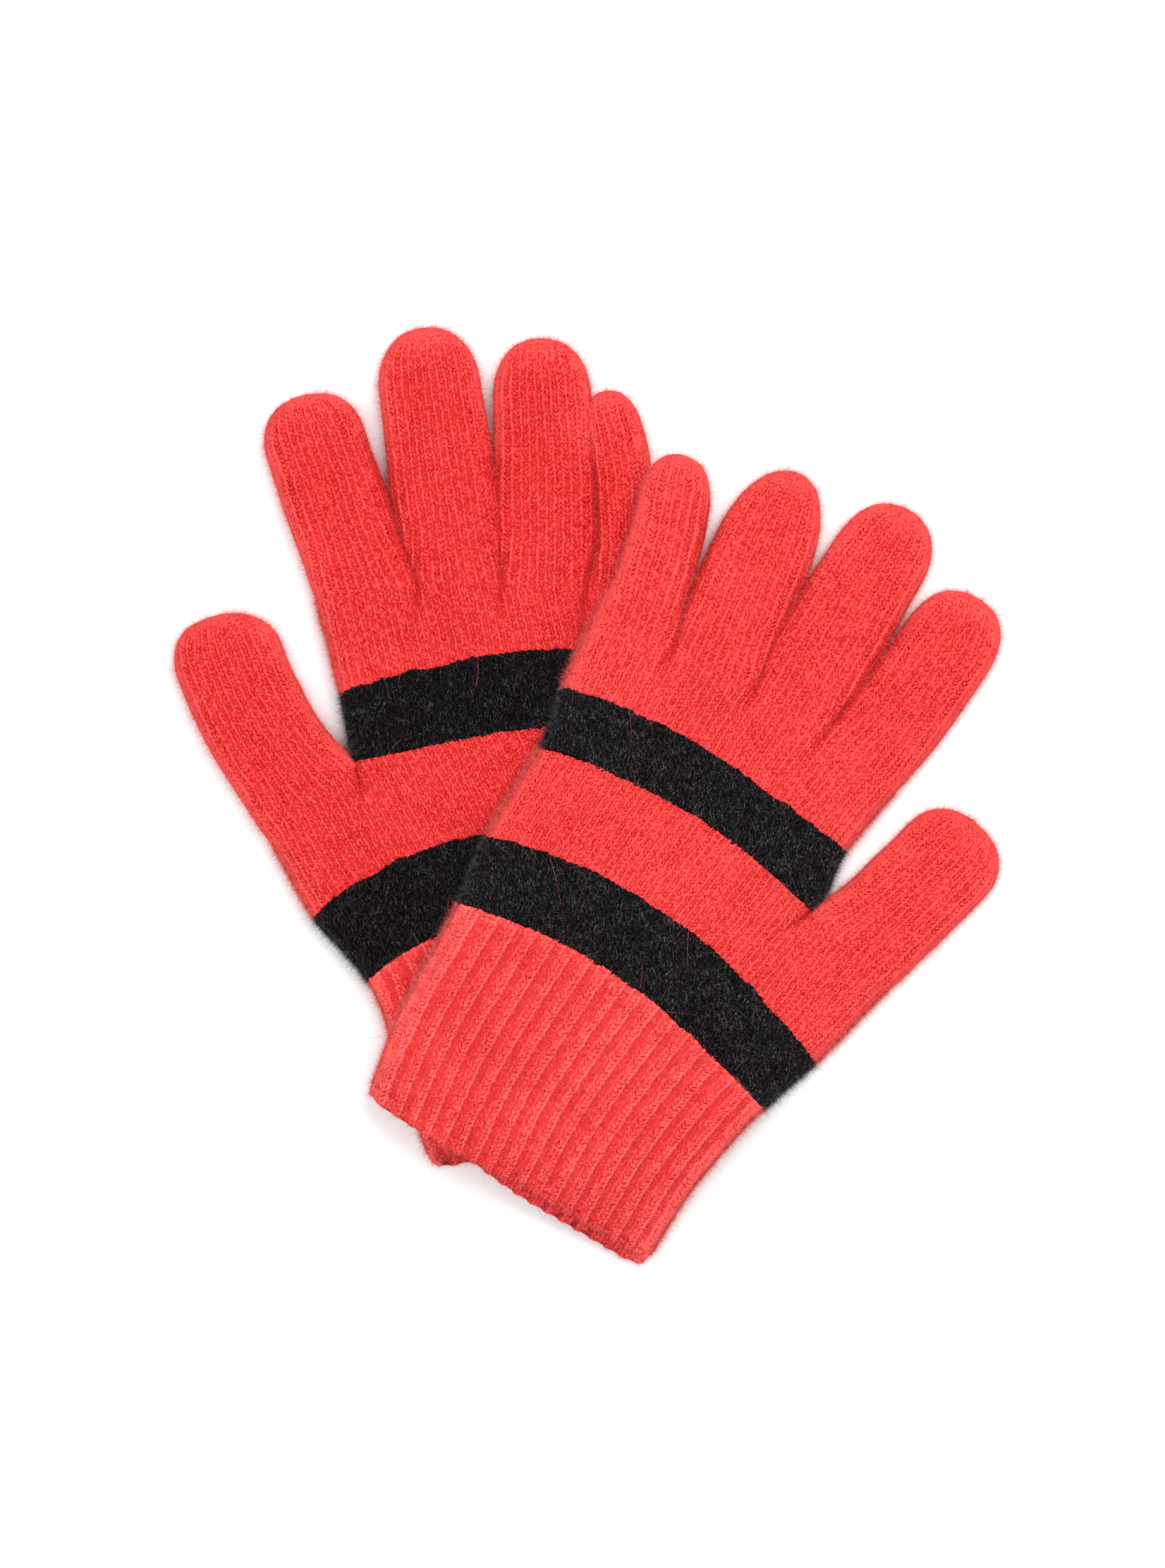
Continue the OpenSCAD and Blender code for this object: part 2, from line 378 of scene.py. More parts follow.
def band_surface(g, j, t, f, back, inset=0):
    """Points of a band for rows t and ring shares f, with what the knit needs to know."""
    rows, cols = t.shape
    w = np.empty((rows, cols))
    side = np.empty((rows, cols))
    height = np.empty((rows, cols))
    crease_shade = np.zeros((rows, cols))
    # The hollows that lead to the roots end as deep as the fingers beside them meet
    valleys, deep = {
        3: ([PALM_SHARE], 1.0),
        6: (BETWEEN, 1 - rise(np.array(HUG), EDGE_R)),
    }.get(j, ([], 0))
    for k in range(rows):
        ws, s = thread_row(g, j, float(t[k].mean()))
        length = s[-1]
        d = turned(f, length, EDGE_R)
        margin = min(inset / length, 0.2)
        at = length * (margin + (1 - 2 * margin) * d / length)
        w[k] = np.interp(at, s, ws)
        side[k] = np.minimum(d, length - d)
        height[k] = rise(side[k], EDGE_R - inset)
        to_line = (1 - t[k]) * np.linalg.norm(
            band_plan(g, j, w[k], np.ones(cols)) - band_plan(g, j, w[k], np.zeros(cols)),
            axis=-1,
        )
        pinch = ease(1 - to_line / PINCH_RUN)
        for v in valleys:
            apart = np.abs(at - np.interp(v, ws, s))
            height[k] *= 1 - deep * pinch * (1 - rise(apart, EDGE_R))
            # Painted shade along the crease of each hollow
            crease_shade[k] += PALM_CREASE_SHADE * pinch * np.exp(-(apart / CREASE_SHADE_RUN) ** 2)
    height = np.maximum(height, 0)
    plan = band_plan(g, j, w, t)
    # The front layer sinks towards the back one at the cuff's open mouth
    to_mouth = (rows_to(g, 1) * COURSE) * np.maximum(t, 0) if j == 0 else MOUTH_SAG_RUN
    sag = MOUTH_SAG * (1 - ease(to_mouth / MOUTH_SAG_RUN))
    return lay(g, plan, height, back, inset, 1 - sag), side, crease_shade


def finger_root(g, name):
    """The two ends of a finger's root line."""
    i = FINGERS.index(name)
    if i < 4:
        return g["roots"][i], g["roots"][i + 1]
    return g["lines"][4][3], g["gusset"]


def finger_line(g, name):
    """A finger's length, and its direction straight out of its root."""
    a, b = finger_root(g, name)
    tip = np.array(g["fingers"][name][0], float)
    across = unit(b - a)
    out = g["side"] * np.array([-across[1], across[0]])
    return np.linalg.norm(tip - (a + b) / 2), out


def finger_surface(g, name, s, f, back, inset=0):
    """Points of a finger at distances s along it and ring shares f, and their distance
    from its sides."""
    a, b = finger_root(g, name)
    tip, bow, half_lo, half_hi, cap_len = g["fingers"][name]
    tip, bow = np.array(tip, float), np.array(bow, float)
    length, out = finger_line(g, name)
    length = length - inset
    across = unit(b - a)
    c = (a + b) / 2
    m = c + out * length / 2 + bow
    t = (s / length)[..., None]
    centre = (1 - t) ** 2 * c + 2 * t * (1 - t) * m + t * t * tip
    way = unit((1 - t) * (m - c) + t * (tip - m))
    cross = g["side"] * np.stack([way[..., 1], -way[..., 0]], -1)
    wide = ease(s / ROOT_RUN)
    side = unit(across + wide[..., None] * (cross - across))
    half = np.linalg.norm(b - a) / 2
    cap = np.clip((s - length + cap_len) / cap_len, 0, 1)
    # The end is a little squarer than a half circle, and never quite closes
    squarer, least, thinnest = 2.4, 0.3, 0.08
    narrow = np.sqrt(np.clip(1 - cap ** squarer, 0, 1))
    i = FINGERS.index(name)
    hug = HUG * (1 - ease((s - HUG_RUN) / HUG_RUN))
    half_lo = half + wide * (half_lo - half) + hug * (0 < i < 4)
    half_hi = half + wide * (half_hi - half) + hug * (i < 3)
    lo = np.maximum((half_lo - inset) * narrow, least)
    hi = np.maximum((half_hi - inset) * narrow, least)
    r = np.minimum(EDGE_R - inset, (lo + hi) / 2)
    d = turned(f, lo + hi, r)
    end = np.clip((s - length + TIP_RUN) / TIP_RUN, 0, 1)
    full = np.maximum(np.sqrt(1 - end * end), thinnest)
    from_side = np.minimum(d, lo + hi - d)
    height = rise(from_side, r)
    plan = centre + side * (d - lo)[..., None]
    over = np.where(back, -(MID * full - inset * full), (GLOVE_T - MID) * full - inset * full)
    z = base_at(g, plan) + MID + over * height
    return np.concatenate([plan - MIDDLE, z[..., None]], -1), from_side


# ---- knitting ----

def hashed(a, b, seed):
    """A number from 0 to 1 that looks random, the same for each stitch every time."""
    x = np.sin(a * 127.1 + b * 311.7 + seed * 74.7) * 43758.5453
    return x - np.floor(x)


def smooth_noise(x, y, seed):
    """Value noise, from -1 to 1, with features one unit across."""
    ix, iy = np.floor(x), np.floor(y)
    fx, fy = ease(x - ix), ease(y - iy)
    low = hashed(ix, iy, seed) * (1 - fx) + hashed(ix + 1, iy, seed) * fx
    high = hashed(ix, iy + 1, seed) * (1 - fx) + hashed(ix + 1, iy + 1, seed) * fx
    return 2 * (low * (1 - fy) + high * fy) - 1


def uneven(u, v, seed):
    """Knit places as uneven yarn shifts them: u counts columns and v counts rows."""
    return (
        u + 0.10 * smooth_noise(u * 0.9, v * 0.6, seed + 3),
        v + 0.22 * smooth_noise(u * 0.7, v * 0.4, seed + 5),
    )


def stitches(u, v, seed, bold):
    """Height, 0 to 1, of plain knitting.

    Each stitch is a V of two slanting legs with a slot over each leg, and a smooth line
    runs up between the columns. Bold is how deep the slots are.
    """
    x = np.abs(u - np.floor(u) - 0.5) * 2
    leg = v - SLANT * x
    row = np.floor(leg + 0.5)
    own = hashed(np.floor(2 * u), row, seed)
    slot = 0.5 + 0.5 * np.cos(2 * math.pi * (leg - row))
    slot = slot * ease(x / 0.3) * (1 - ease((x - 0.5) / 0.4)) * (0.5 + 0.7 * own)
    line = ease((x - 0.65) / 0.35)
    centre = 1 - ease(x / 0.3)
    return np.clip(0.8 + 0.2 * line - bold * slot - 0.15 * centre, 0, 1)


def calm(relief, to_seam):
    """Relief that evens out where a finger's knitting meets the palm's."""
    return relief + (CALM - relief) * np.exp(-(to_seam / CALM_RUN) ** 2)


def rib_height(u):
    """Height, 0 to 1, across the ribs; u counts ribs, each a raised column and a sunk one."""
    return ease(0.5 + 0.75 * np.cos(2 * math.pi * (u - 0.25)))


def rows_to(g, line):
    """Rows of stitches from the cuff's mouth to a line across the glove, 0.4 of the way
    across it."""
    rows = 0
    for j in (0, 1, 2, 3, 5, 6):
        if j < line:
            ends = band_plan(g, j, np.array([0.4, 0.4]), np.array([0.0, 1.0]))
            rows += np.linalg.norm(ends[1] - ends[0]) / COURSE
    return rows


def edge_shift(line, columns):
    """How far the end of a colour wanders up or down, in millimetres."""
    zig = np.abs(columns % 1 - 0.5) * 2 - 0.5
    line = 0 * columns + line
    slow = smooth_noise(columns * 0.4, line, 31.0)
    quick = smooth_noise(columns * 1.1, line, 37.0)
    return 0.4 * zig + 0.45 * slow + 0.35 * quick


def layer_seed(back, way):
    """Noise seeds that differ from layer to layer and from glove to glove."""
    return np.where(back, 20.0, 0.0) + (1 if way > 0 else 50)


def ripples(p, seed):
    """Soft uneven lie of the fabric, in millimetres."""
    return (
        0.5 * smooth_noise(p[..., 0] / 17, p[..., 1] / 17, seed)
        + 0.16 * smooth_noise(p[..., 0] / 6.5, p[..., 1] / 6.5, seed + 9)
    )


def surface_normals(before, after, points, way):
    """Outward normals from the ring's neighbours and from rows just below and above."""
    around = np.roll(points, -1, 1) - np.roll(points, 1, 1)
    return way * unit(np.cross(around, after - before))


def raised(points, normals, lift):
    """Skin that stands out of the smooth fabric, and nowhere under the floor."""
    skin = points + normals * lift[..., None]
    skin[..., 2] = np.maximum(skin[..., 2], 0)
    return skin


# ---- meshes ----

def tube_faces(rows, cols, flip, offset=0):
    """Quads of a closed-round grid of rows by cols vertices."""
    k, j = np.meshgrid(np.arange(rows - 1), np.arange(cols), indexing="ij")
    a = k * cols + j
    b = k * cols + (j + 1) % cols
    quads = np.stack([a, b, b + cols, a + cols], -1).reshape(-1, 4) + offset
    return quads[:, ::-1] if flip else quads


def rim_faces(outer_at, outer_n, inner_at, inner_n, flip):
    """Triangles between an outer ring and an inner ring with fewer vertices."""
    step = outer_n // inner_n
    j = np.arange(outer_n)
    outer = outer_at + j
    outer_next = outer_at + (j + 1) % outer_n
    inner = inner_at + (j // step) % inner_n
    tris = [np.stack([outer, inner, outer_next], -1)]
    k = np.arange(inner_n)
    tris.append(np.stack([
        outer_at + ((k + 1) * step) % outer_n,
        inner_at + k,
        inner_at + (k + 1) % inner_n,
    ], -1))
    tris = np.concatenate(tris)
    return tris[:, ::-1] if flip else tris


def cap_faces(ring_at, n, tip, flip):
    """Triangles from a ring to the one point that closes it."""
    j = np.arange(n)
    tris = np.stack([ring_at + j, ring_at + (j + 1) % n, np.full(n, tip)], -1)
    return tris[:, ::-1] if flip else tris


def make_mesh(name, points, quads, tris, knit_uv, bake_uv, layers, smooth_tris=False):
    """A mesh object from arrays, with its knit and bake maps and its named layers."""
    mesh = bpy.data.meshes.new(name)
    corners = np.concatenate([quads.ravel(), tris.ravel()]).astype(np.int32)
    starts = np.concatenate([
        np.arange(len(quads)) * 4,
        len(quads) * 4 + np.arange(len(tris)) * 3,
    ]).astype(np.int32)
    mesh.vertices.add(len(points))
    mesh.vertices.foreach_set("co", (points * MM).astype(np.float32).ravel())
    mesh.loops.add(len(corners))
    mesh.loops.foreach_set("vertex_index", corners)
    mesh.polygons.add(len(starts))
    mesh.polygons.foreach_set("loop_start", starts)
    mesh.update(calc_edges=True)
    # Rims and tips stay flat, so that the smooth skin next to them keeps its own normals
    smooth = len(starts) if smooth_tris else len(quads)
    mesh.polygons.foreach_set("use_smooth", np.arange(len(starts)) < smooth)
    for layer, uv in (("Knit", knit_uv), ("OFBake", bake_uv)):
        if uv is not None:
            data = mesh.uv_layers.new(name=layer).data
            data.foreach_set("uv", uv[corners].astype(np.float32).ravel())
    for layer, values in layers.items():
        data = mesh.attributes.new(layer, "FLOAT", "POINT").data
        data.foreach_set("value", values.astype(np.float32))
    mesh.validate()
    obj = bpy.data.objects.new(name, mesh)
    bpy.context.collection.objects.link(obj)
    return obj


def knitted_tube(name, outer, inner, in_rows, layers, knit_uv, way, closed):
    """A closed thick tube: a fine outer skin, a coarser lining, and rims or a tip."""
    rows, cols = outer.shape[:2]
    in_count, in_cols = inner.shape[:2]
    at_inner = rows * cols
    flip = way < 0
    quads = [tube_faces(rows, cols, flip), tube_faces(in_count, in_cols, not flip, at_inner)]
    tris = [rim_faces(0, cols, at_inner, in_cols, flip)]
    points = [outer.reshape(-1, 3), inner.reshape(-1, 3)]
    last, last_in = (rows - 1) * cols, at_inner + (in_count - 1) * in_cols

    # The bake layout gives the skin nine tenths of the square and the lining the rest
    share, edge = 0.9, 0.01

    def bake_grid(low, high, down, across):
        """Bake map of a grid of points, between two heights of the square."""
        r, c = np.meshgrid(np.linspace(low, high, down), np.arange(across) / across,
                           indexing="ij")
        return np.stack([edge + (1 - 2 * edge) * c, r], -1).reshape(-1, 2)

    bake = [bake_grid(edge, share - edge, rows, cols),
            bake_grid(share, 1 - edge, in_count, in_cols)]
    if closed:
        tip = at_inner + in_count * in_cols
        points.append(np.stack([outer[-1].mean(0), inner[-1].mean(0)]))
        tris += [cap_faces(last, cols, tip, flip),
                 cap_faces(last_in, in_cols, tip + 1, not flip)]
        bake.append([[0.5, share - edge], [0.5, 1 - edge]])
    else:
        tris.append(rim_faces(last, cols, last_in, in_cols, not flip))

    def both(values):
        """Values of the skin, then of the lining from the skin over it, then of the tips."""
        lining = values[in_rows][:, ::FINE_U]
        parts = [values.reshape(rows * cols, -1), lining.reshape(in_count * in_cols, -1)]
        if closed:
            parts += [values[-1].reshape(cols, -1).mean(0, keepdims=True)] * 2
        return np.concatenate(parts)

    # The upper, right glove gets painted light, the lower, left one painted shade
    layers["pile"] = layers["pile"] + GLOVE_LIGHT_SHADE[way]
    layers["fleck"] = np.full((rows, cols), FLECKED[way])
    return make_mesh(
        name, np.concatenate(points), np.concatenate(quads), np.concatenate(tris),
        both(knit_uv), np.concatenate(bake),
        {key: both(value)[:, 0] for key, value in layers.items()},
    )


# The skins of all pieces, for the loose fibres: name to points, normals, which layer each
# point is in, and how far it is from the piece's outline
SKINS = {}


def next_line(line):
    """The line where the band from this one ends; above line 3, the thumb takes line 4."""
    return 5 if line == 3 else line + 1


def add_band(g, name, spans, ribbed):
    """A band of the palm or cuff. spans is a list of [line, from, to]."""
    wales = RIBS * 2 if ribbed else (PALM_WALES if spans[0][0] >= 5 else WALES)
    n = wales * FINE_U
    f, back = ring_shares(n)
    columns = f * wales
    rows = []
    for line, start, stop in spans:
        below, above = rows_to(g, line), rows_to(g, next_line(line))
        count = max(int(round((stop - start) * (above - below) * FINE_V)), 3)
        steps = np.linspace(start, stop, count + 1)[1 if rows else 0:]
        rows += [(line, t, below + t * (above - below)) for t in steps]
    at_mouth = ribbed and spans[0][:2] == [0, 0]
    nudge = 0.01
    parts = []
    for line in sorted({r[0] for r in rows}):
        own = [r[1] for r in rows if r[0] == line]
        t = np.array(own)[:, None] + np.zeros(2 * n)
        long = (rows_to(g, next_line(line)) - rows_to(g, line)) * COURSE
        shift = t * edge_shift(line + 1, columns) if line > 0 else 0 * t
        if not ribbed:
            shift = shift + (1 - t) * edge_shift(line, columns)
        if at_mouth:
            # The front layer stops short of the mouth and the back layer shows past it: not
            # at all in the first quarter, and fully from 0.6 almost to the thumb's side
            inside = ease((f - 0.25) / 0.35) * ease((1 - f) * 14)
            far_back = BACK_IN - (BACK_LONG + BACK_IN) * inside
            far = np.where(back, far_back, FRONT_SHORT * inside)
            far = far + SCALLOP * (0.5 - rib_height(f * RIBS))
            far = far + CORNER * (1 - rise(np.minimum(f, 1 - f), 0.07))
            shift = shift + (1 - t / own[-1]) * far
        t = t + shift / long
        to_roots = (1 - t) * long if line == 6 else np.full(t.shape, FAR)
        near = [band_surface(g, line, t + by, f, back)[0] for by in (-nudge, nudge)]
        parts.append((t, to_roots, *near, *band_surface(g, line, t, f, back)))
    places, to_roots, before, after, points, sides, crease_shades = (
        np.concatenate(values) for values in zip(*parts)
    )
    way = g["side"]
    normals = surface_normals(before, after, points, way)
    seed = layer_seed(back, way)
    knit_rows = np.array([r[2] for r in rows])[:, None] + np.zeros(2 * n)
    u, v = uneven(columns + np.zeros(points.shape[:2]), knit_rows, seed)
    depth = np.ones(points.shape[:2])
    if ribbed:
        # The ribs fade in the last rows before the lower stripe
        top = np.array([r[1] if r[0] == 1 else 0 for r in rows])
        fade = 1 - ease((top - 0.82) / 0.18)[:, None] * 0.8
        high = rib_height(f * RIBS)
        # Depth paints shade in the grooves, and the lift below sinks them
        depth = depth - RIB_GROOVE_SHADE * fade * (1 - high)
        bold = 0.4 + 0.45 * fade * high
    else:
        bold = 0.6 + 0.4 * bump(sides, middle=4.2, width=1.6)
    relief = calm(stitches(u, v, seed, bold), to_roots)
    lift = STITCH_H * (relief - 1) - RIB_H / RIB_GROOVE_SHADE * (1 - depth)
    lift = lift + LOFT + np.where(back, BACK_RIPPLES, 1.0) * ripples(points, seed[0])
    if at_mouth:
        # The cast-on edge is round: the skin turns in at the mouth
        from_mouth = np.linalg.norm(points - points[0], axis=-1)
        lift = lift - MOUTH_TURN * (1 - rise(from_mouth, MOUTH_ROUND))
    skin = raised(points, normals, lift)
    in_rows = np.append(np.arange(0, len(rows) - 1, LINING_ROWS), len(rows) - 1)
    inner = np.concatenate([
        band_surface(g, rows[k][0], places[k][None, ::FINE_U], f[::FINE_U], back[::FINE_U],
                     WALL)[0]
        for k in in_rows
    ])
    # Painted rim light along the outline, more on the ribs, and painted shade in the palm's
    # creases
    pile = np.exp(-sides / RIM_LIGHT_RUN) * (1.5 if ribbed else 1) - PAINTED_CREASE_SHADE * crease_shades
    layers = {"depth": depth, "bold": bold, "pile": pile}
    if at_mouth:
        # Fuzz hangs out over the mouth's edge
        over_edge = unit(before - after) * np.exp(-(from_mouth / 1.2) ** 2)[..., None]
        normals = normals + 2 * over_edge
        sides = np.minimum(sides, from_mouth)
    SKINS[name] = (skin, normals, back, sides)
    return knitted_tube(name, skin, inner, in_rows, layers, np.stack([u, v], -1), way,
                        closed=False)


def add_finger(g, side_name, finger):
    """A finger or thumb: a tube that starts at its root and closes at its tip."""
    name = f"{side_name}_{finger}_knit"
    length = finger_line(g, finger)[0]
    lo, hi, cap_len = g["fingers"][finger][2:]
    thumb = finger == "thumb"
    root_wales = (WALES - PALM_WALES) if thumb else PALM_WALES / 4
    wales = int(round((lo + hi + 2 * (TURN - 1) * EDGE_R) / WALE))
    wales += wales % 2
    n = wales * FINE_U
    f, back = ring_shares(n)
    # The first rows lie just under the end of the palm, and meet it at the root
    start, stop = -ROOT_UNDER, length - 0.08
    count = int(round((stop - start) / COURSE * FINE_V))
    # Rows come closer together where the tip rounds off
    s = start + (stop - start) * np.linspace(0, 1, count + 1)
    into_cap = np.clip((s - length + cap_len) / cap_len, 0, 1)
    s = s + (cap_len * 0.09) * np.sin(into_cap * math.pi)
    s = np.minimum(s, stop)[:, None] + np.zeros(2 * n)
    points, sides = finger_surface(g, finger, s, f, back)
    nudge = 0.05
    before = finger_surface(g, finger, s - nudge, f, back)[0]
    after = finger_surface(g, finger, np.minimum(s + nudge, length - 0.03), f, back)[0]
    way = g["side"]
    normals = surface_normals(before, after, points, way)
    across = root_wales + (wales - root_wales) * ease(s / ROOT_RUN)
    seed = layer_seed(back, way)
    knit_rows = rows_to(g, 5 if thumb else 7) + s / COURSE
    # Columns are counted from the finger's middle, which has a number of its own
    middle = 200
    u, v = uneven(middle + (f - 0.5) * across, knit_rows, seed)
    # A bolder column runs along each side, where the front turns to the back, from above
    # the root to below the tip
    body = ease(s / 6) * (1 - ease((s - length + 13) / 10))
    bold = 0.6 + 0.4 * bump(sides, middle=4.0, width=1.7) * body
    relief = calm(stitches(u, v, seed, bold), s)
    lift = STITCH_H * (relief - 1) + 0.25 * bump(sides, middle=2.2, width=0.9) * body
    # The relief dies away over the last of the tip, and the first rows sink
    cap = ease((s - length + 2.5) / 2.5)
    lift = lift * (1 - 0.7 * cap) + LOFT * (1 - cap)
    lift = lift - ROOT_SINK * (1 - ease(s / ROOT_UNDER + 1))
    lift = lift + np.where(back, BACK_RIPPLES, 1.0) * ripples(points, seed[0]) * (1 - cap)
    skin = raised(points, normals, lift)
    in_rows = np.round(np.linspace(0, count, max(count // LINING_ROWS, 8))).astype(int)
    in_s = start + (stop - start - WALL) * in_rows / count
    inner = finger_surface(g, finger, in_s[:, None] + np.zeros(2 * n // FINE_U),
                           f[::FINE_U], back[::FINE_U], WALL)[0]
    rim = np.minimum(sides, 0.6 * np.maximum(length - s, 0))
    # A side that lies against the next finger has a crease, which gets painted shade, and no
    # outline of its own, so no painted rim light
    i = FINGERS.index(finger)
    faces = np.where(f < 0.5, 0 < i < 4, i < 3) * (1 - ease((s - HUG_RUN) / HUG_RUN))
    # Painted rim light along the outline, and painted shade in the crease beside the next
    # finger
    pile = np.exp(-rim / RIM_LIGHT_RUN) * (1 - faces)
    pile = pile - PAINTED_CREASE_SHADE * faces * np.exp(-(sides / CREASE_SHADE_RUN) ** 2)
    layers = {"depth": np.ones(s.shape), "bold": bold, "pile": pile}
    SKINS[name] = (skin, normals, back, rim)
    return knitted_tube(name, skin, inner, in_rows, layers, np.stack([u, v], -1), way,
                        closed=True)


# ---- loose fibres ----

def strands(path, thick, ways):
    """Closed tapered three-sided strands along paths of points.

    Gives their points, quads, tris and how many points each strand has.
    """
    total, steps = path.shape[:2]
    k = np.linspace(0, 1, steps)
    one = unit(np.cross(ways, rng.normal(size=(total, 3))))
    two = unit(np.cross(ways, one))
    taper = thick[:, None, None] * (1 - 0.7 * k)[None, :, None]
    corners = [
        path + (math.cos(a) * one + math.sin(a) * two)[:, None] * taper
        for a in (0, 2 * math.pi / 3, 4 * math.pi / 3)
    ]
    rings = np.stack(corners, 2)[:, : steps - 1]
    points = np.concatenate([rings.reshape(total, -1, 3), path[:, -1:]], 1)
    per = points.shape[1]
    first = (np.arange(total) * per)[:, None]
    side = [(0, 1), (1, 2), (2, 0)]
    quads = [np.empty((0, 4), int)]
    quads += [first + 3 * r + np.array([[a, b, b + 3, a + 3]])
              for r in range(steps - 2) for a, b in side]
    end = (steps - 2) * 3
    tris = [first + np.array([[end + a, end + b, end + 3]]) for a, b in side]
    tris.append(first + np.array([[0, 2, 1]]))
    return points.reshape(-1, 3), np.concatenate(quads), np.concatenate(tris), per


def fibre_paths(skin_name, total, length, lean_flat, lean_edge, edge_share, steps, droop):
    """Paths of loose fibres out of a skin, more of them along its side edges."""
    skin, normals, back, rim = SKINS[skin_name]
    area = np.linalg.norm(np.cross(
        np.roll(skin, -1, 1)[:-1] - skin[:-1], skin[1:] - skin[:-1]), axis=-1)
    near_rim = np.exp(-(rim[:-1] / 1.5) ** 2)
    # The underside has a quarter of the fibres, since it isn't seen
    hidden = np.where(back & (rim[:-1] > 3), 0.25, 1.0)
    weight = area * (1 + edge_share * near_rim) * hidden
    chance = np.cumsum(weight.ravel())
    pick = np.searchsorted(chance, rng.random(total) * chance[-1])
    pick = np.minimum(pick, weight.size - 1)
    root = skin[:-1].reshape(-1, 3)[pick]
    # Roots lie anywhere between the skin's own points
    shift = rng.random((total, 1))
    root = root + shift * (skin[1:].reshape(-1, 3)[pick] - root)
    out = unit(normals[:-1].reshape(-1, 3)[pick])
    edge = near_rim.ravel()[pick]
    # On the outline they stand out sideways
    sideways = np.concatenate([unit(out[:, :2]), np.zeros((total, 1))], 1)
    out = unit(out + 1.5 * edge[:, None] * sideways)
    spin = rng.normal(size=(total, 3))
    flat = unit(spin - (spin * out).sum(-1, keepdims=True) * out)
    low = lean_flat[0] + (lean_edge[0] - lean_flat[0]) * edge
    high = lean_flat[1] + (lean_edge[1] - lean_flat[1]) * edge
    lean = rng.uniform(low, high)
    way = unit(flat + lean[:, None] * out)
    bend = rng.normal(size=(total, 3))
    bend = unit(bend - (bend * way).sum(-1, keepdims=True) * way)
    k = np.linspace(0, 1, steps)[None, :, None]
    size = length[:, None, None]
    curl = rng.uniform(0.1, 0.5, total)[:, None, None] * bend[:, None] * k ** 2
    # Each starts a little under the skin
    path = (root - 0.2 * out)[:, None] + size * (k * way[:, None] + curl)
    # A fibre lies down on the fabric again towards its end
    path = path - out[:, None] * droop * size * lean[:, None, None] * k ** 2
    # The longest lie over before they stand high, and none goes into the surface below
    stands = path[..., 2] - root[:, None, 2]
    path[..., 2] -= np.maximum(stands - HAIR_UP * np.tanh(stands / HAIR_UP), 0)
    path[..., 2] = np.maximum(path[..., 2], HAIR_LOW)
    return path, way


def fibres(name, skin_name, count, long_count):
    """Fuzz: short loose fibres all over a skin, and a few long ones lying on it."""
    # Most are about a millimetre long, and one in twenty is longer
    length = np.clip(rng.gamma(3.5, 0.38, count), 0.4, 3.0)
    length = np.where(rng.random(count) < 0.05, rng.uniform(2.5, 5.0, count), length)
    path, way = fibre_paths(skin_name, count, length, lean_flat=(0.15, 0.7),
                            lean_edge=(0.5, 3.0), edge_share=22.0, steps=3, droop=0.05)
    thick = rng.uniform(0.022, 0.040, count)
    short = length < STRAIGHT
    parts = [strands(path[short][:, ::2], thick[short], way[short]),
             strands(path[~short], thick[~short], way[~short])]
    length = rng.uniform(5, 18, long_count)
    path, way = fibre_paths(skin_name, long_count, length, lean_flat=(0.05, 0.35),
                            lean_edge=(0.1, 0.8), edge_share=1.0, steps=8, droop=0.3)
    parts.append(strands(path, rng.uniform(0.022, 0.036, long_count), way))
    points, quads, tris, bake = [], [], [], []
    # Each strand takes its colour from a place of its own in the bake map
    cells = np.ceil(np.sqrt(count + long_count))
    at = first = 0
    for own_points, own_quads, own_tris, per in parts:
        points.append(own_points)
        quads.append(own_quads + at)
        tris.append(own_tris + at)
        at += len(own_points)
        strand = first + np.arange(len(own_points)) // per
        first += len(own_points) // per
        turn = 7 * (np.arange(len(own_points)) % per) / per
        cell = np.stack([strand % cells, strand // cells], -1) + 0.5
        bake.append((cell + 0.3 * np.stack([np.cos(turn), np.sin(turn)], -1)) / cells)
    return make_mesh(name, np.concatenate(points), np.concatenate(quads), np.concatenate(tris),
                     None, np.concatenate(bake), {}, smooth_tris=True)


# ---- materials ----

def node_tree(name):
    """A new material, its node tree and its shader."""
    mat = bpy.data.materials.new(name)
    mat.use_nodes = True
    return mat, mat.node_tree, mat.node_tree.nodes["Principled BSDF"]


def fill(tree, node, values):
    """Each of a node's inputs linked to a socket, or set to a number, vector or colour."""
    for key, value in values.items():
        if isinstance(value, bpy.types.NodeSocket):
            tree.links.new(value, node.inputs[key])
        elif node.inputs[key].type == "RGBA":
            node.inputs[key].default_value = (*value, 1)
        else:
            node.inputs[key].default_value = value
    return node


def add_node(tree, kind, values):
    """A shader node with its inputs filled."""
    return fill(tree, tree.nodes.new("ShaderNode" + kind), values)


def add_noise(tree, vector, scale, detail=2.0, roughness=0.5, output="Fac"):
    """Noise, as a number or as a colour."""
    values = {"Vector": vector, "Scale": scale, "Detail": detail, "Roughness": roughness}
    return add_node(tree, "TexNoise", values).outputs[output]


def add_ramp(tree, value, stops):
    """The colour at a value, from stops of value and colour."""
    node = add_node(tree, "ValToRGB", {"Fac": value})
    ramp = node.color_ramp
    while len(ramp.elements) < len(stops):
        ramp.elements.new(0.5)
    for element, (at, colour) in zip(ramp.elements, stops):
        element.position = at
        element.color = (*colour, 1)
    return node.outputs["Color"]


def add_mix(tree, blend_type, factor, a, b):
    """Two colours blended."""
    node = tree.nodes.new("ShaderNodeMix")
    node.data_type = "RGBA"
    node.blend_type = blend_type
    return fill(tree, node, {"Factor": factor, "A": a, "B": b}).outputs["Result"]


def add_math(tree, operation, a, b=0):
    """Arithmetic on one or two numbers."""
    node = tree.nodes.new("ShaderNodeMath")
    node.operation = operation
    return fill(tree, node, {0: a, 1: b}).outputs["Value"]


